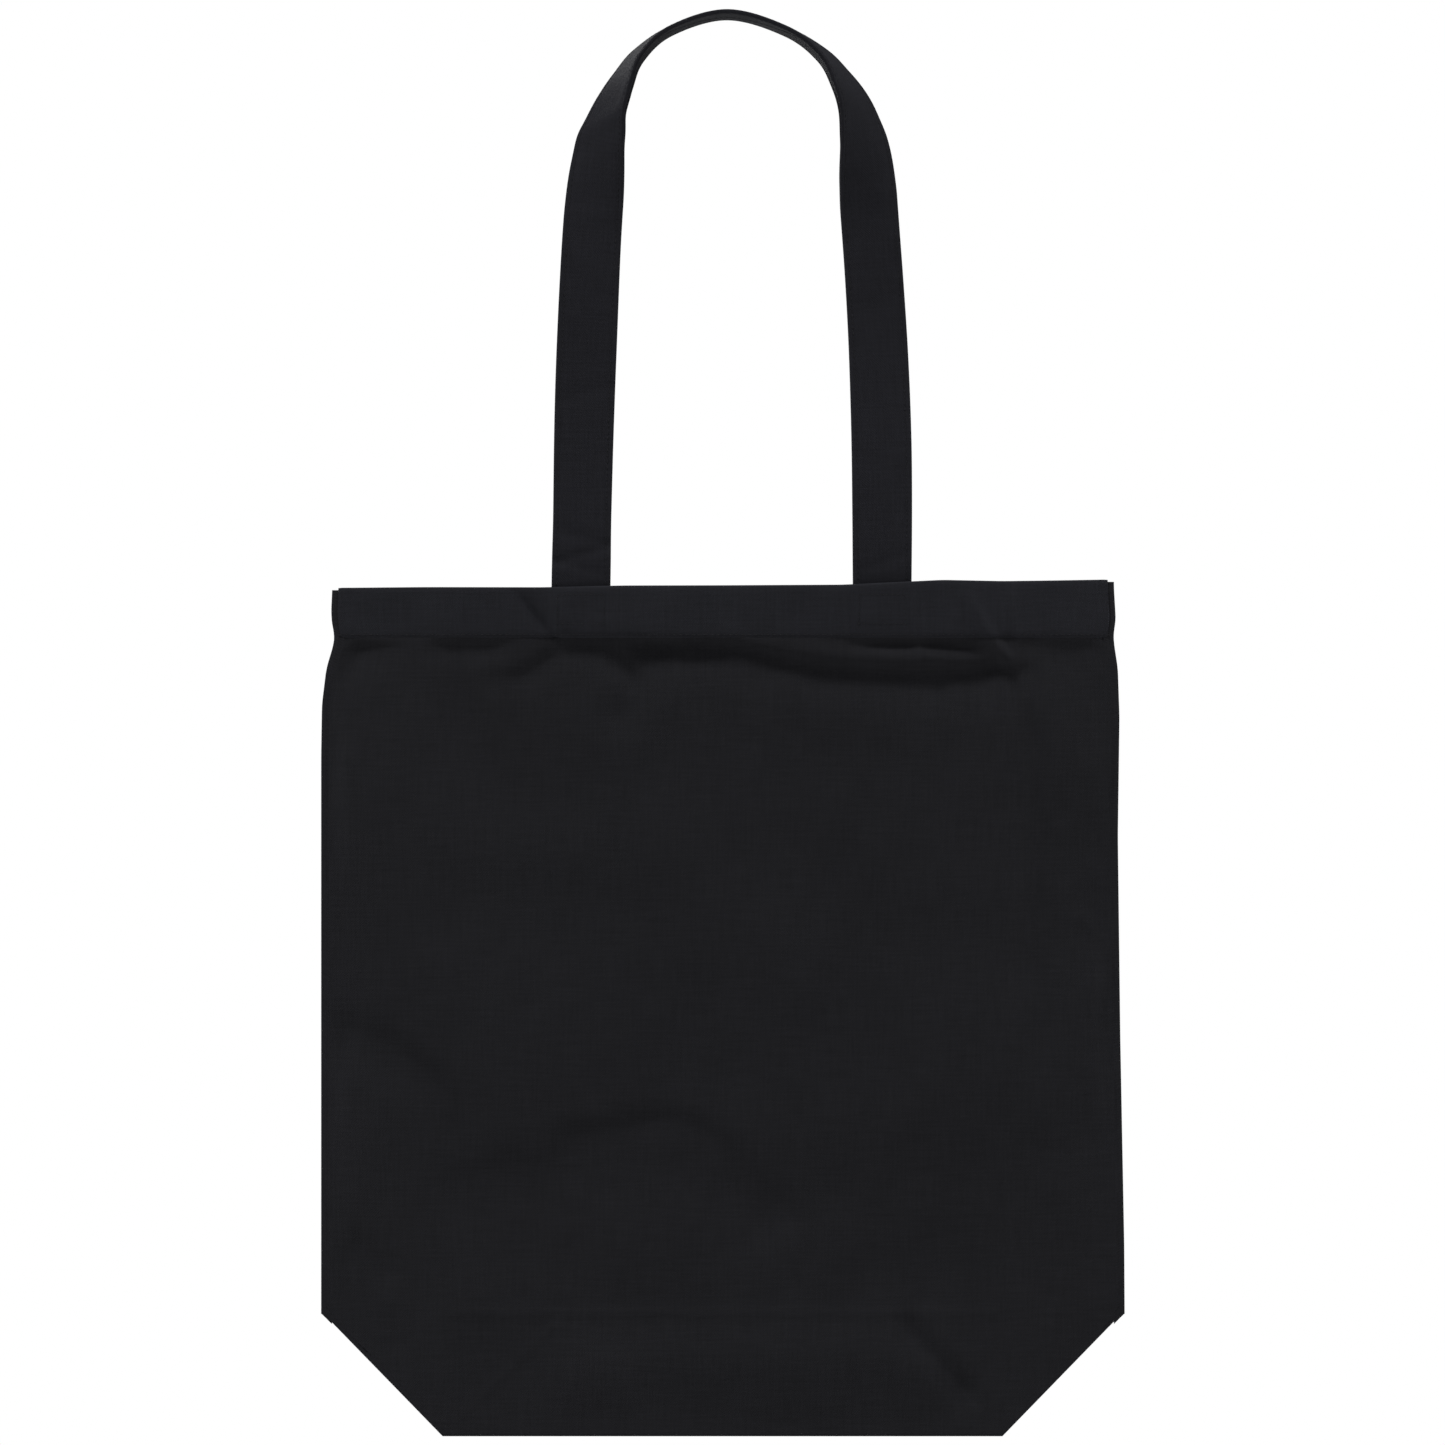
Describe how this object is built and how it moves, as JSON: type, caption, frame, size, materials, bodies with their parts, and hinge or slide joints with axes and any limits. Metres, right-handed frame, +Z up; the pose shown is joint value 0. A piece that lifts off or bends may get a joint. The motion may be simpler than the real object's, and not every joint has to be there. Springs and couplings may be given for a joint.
{
  "type": "tote bag",
  "caption": "Boxed canvas tote bag with two long shoulder handles, a doubled hem and a base and sides that fold flat.",
  "frame": {"origin": "middle of the bottom edge, halfway between the front and back panels, at the lowest point of the closed bag", "axes": "+Z up along the handles, -Y out of the front panel, +X to the right seen from the front"},
  "size_m": [0.3984, 0.0606, 0.7132],
  "materials": {
    "canvas": "plain-weave cotton canvas, near black, matt",
    "handle_canvas": "folded and edge-stitched cotton canvas, near black, matt",
    "thread": "black sewing thread, slightly brighter than the cloth"
  },
  "bodies": {
    "back": {"back_panel": "canvas", "back_hem": "canvas", "back_left_strap_end": "handle_canvas", "back_right_strap_end": "handle_canvas", "back_hem_stitching": "thread", "back_strap_tacks": "thread"},
    "front": {"front_panel": "canvas", "front_hem": "canvas", "front_left_strap_end": "handle_canvas", "front_right_strap_end": "handle_canvas", "front_hem_stitching": "thread", "front_strap_tacks": "thread"},
    "left_back_side": {"left_back_gusset": "canvas", "left_back_gusset_hem": "canvas", "left_side_seam": "canvas"},
    "left_front_side": {"left_front_gusset": "canvas", "left_front_gusset_hem": "canvas"},
    "right_back_side": {"right_back_gusset": "canvas", "right_back_gusset_hem": "canvas", "right_side_seam": "canvas"},
    "right_front_side": {"right_front_gusset": "canvas", "right_front_gusset_hem": "canvas"},
    "back_base": {"back_base": "canvas", "left_back_corner_flap": "canvas", "right_back_corner_flap": "canvas"},
    "front_base": {"front_base": "canvas", "left_front_corner_flap": "canvas", "right_front_corner_flap": "canvas"},
    "left_back_tuck": {"left_back_corner_tuck": "canvas"},
    "left_front_tuck": {"left_front_corner_tuck": "canvas"},
    "right_back_tuck": {"right_back_corner_tuck": "canvas"},
    "right_front_tuck": {"right_front_corner_tuck": "canvas"},
    "front_handle": {"front_handle": "handle_canvas"},
    "back_handle": {"back_handle": "handle_canvas"}
  },
  "joints": [
    {"name": "left_back_fold", "type": "hinge", "parent": "back", "child": "left_back_side", "pos_m": [-0.14, 0.01, 0], "axis": [0, 0, 1], "range_deg": [0, 80.4]},
    {"name": "left_side_fold", "type": "hinge", "parent": "left_back_side", "child": "left_front_side", "pos_m": [-0.19916, 0, 0], "axis": [0, 0, 1], "range_deg": [-161, 0]},
    {"name": "left_front_fold", "type": "hinge", "parent": "left_front_side", "child": "front", "pos_m": [-0.14, -0.01, 0], "axis": [0, 0, 1], "range_deg": [0, 80.5]},
    {"name": "right_front_fold", "type": "hinge", "parent": "front", "child": "right_front_side", "pos_m": [0.14, -0.01, 0], "axis": [0, 0, 1], "range_deg": [0, 80.5]},
    {"name": "right_side_fold", "type": "hinge", "parent": "right_front_side", "child": "right_back_side", "pos_m": [0.19916, 0, 0], "axis": [0, 0, 1], "range_deg": [-161, 0]},
    {"name": "back_base_fold", "type": "hinge", "parent": "back", "child": "back_base", "pos_m": [0, 0.01, 0], "axis": [1, 0, 0], "range_deg": [0, 80.5]},
    {"name": "front_base_fold", "type": "hinge", "parent": "front", "child": "front_base", "pos_m": [0, -0.01, 0], "axis": [1, 0, 0], "range_deg": [-80.5, 0]},
    {"name": "left_back_tuck_fold", "type": "hinge", "parent": "left_back_side", "child": "left_back_tuck", "pos_m": [-0.14, 0.01, 0], "axis": [-0.6972, -0.1179, 0.7071], "range_deg": [-166.9, 0], "deforming": ["left_back_corner_tuck"]},
    {"name": "left_front_tuck_fold", "type": "hinge", "parent": "left_front_side", "child": "left_front_tuck", "pos_m": [-0.14, -0.01, 0], "axis": [-0.6972, 0.1179, 0.7071], "range_deg": [0, 166.9], "deforming": ["left_front_corner_tuck"]},
    {"name": "right_back_tuck_fold", "type": "hinge", "parent": "right_back_side", "child": "right_back_tuck", "pos_m": [0.14, 0.01, 0], "axis": [0.6972, -0.1179, 0.7071], "range_deg": [0, 166.9], "deforming": ["right_back_corner_tuck"]},
    {"name": "right_front_tuck_fold", "type": "hinge", "parent": "right_front_side", "child": "right_front_tuck", "pos_m": [0.14, -0.01, 0], "axis": [0.6972, 0.1179, 0.7071], "range_deg": [-166.9, 0], "deforming": ["right_front_corner_tuck"]},
    {"name": "front_handle_fold", "type": "hinge", "parent": "front", "child": "front_handle", "pos_m": [0, -0.0094, 0.4262], "axis": [1, 0, 0], "range_deg": [0, 172]},
    {"name": "back_handle_fold", "type": "hinge", "parent": "back", "child": "back_handle", "pos_m": [0, 0.0094, 0.4262], "axis": [1, 0, 0], "range_deg": [-172, 0]}
  ],
  "couplings": [
    {"joint": "left_side_fold", "follows": "left_back_fold", "ratio": -2},
    {"joint": "left_front_fold", "follows": "left_back_fold", "ratio": 1},
    {"joint": "right_front_fold", "follows": "left_back_fold", "ratio": 1},
    {"joint": "right_side_fold", "follows": "left_back_fold", "ratio": -2},
    {"joint": "back_base_fold", "follows": "left_back_fold", "ratio": 1},
    {"joint": "front_base_fold", "follows": "left_back_fold", "ratio": -1},
    {"joint": "left_back_tuck_fold", "follows": "left_back_fold", "ratio": -2.0692},
    {"joint": "left_front_tuck_fold", "follows": "left_back_fold", "ratio": 2.0692},
    {"joint": "right_back_tuck_fold", "follows": "left_back_fold", "ratio": 2.0692},
    {"joint": "right_front_tuck_fold", "follows": "left_back_fold", "ratio": -2.0692}
  ]
}
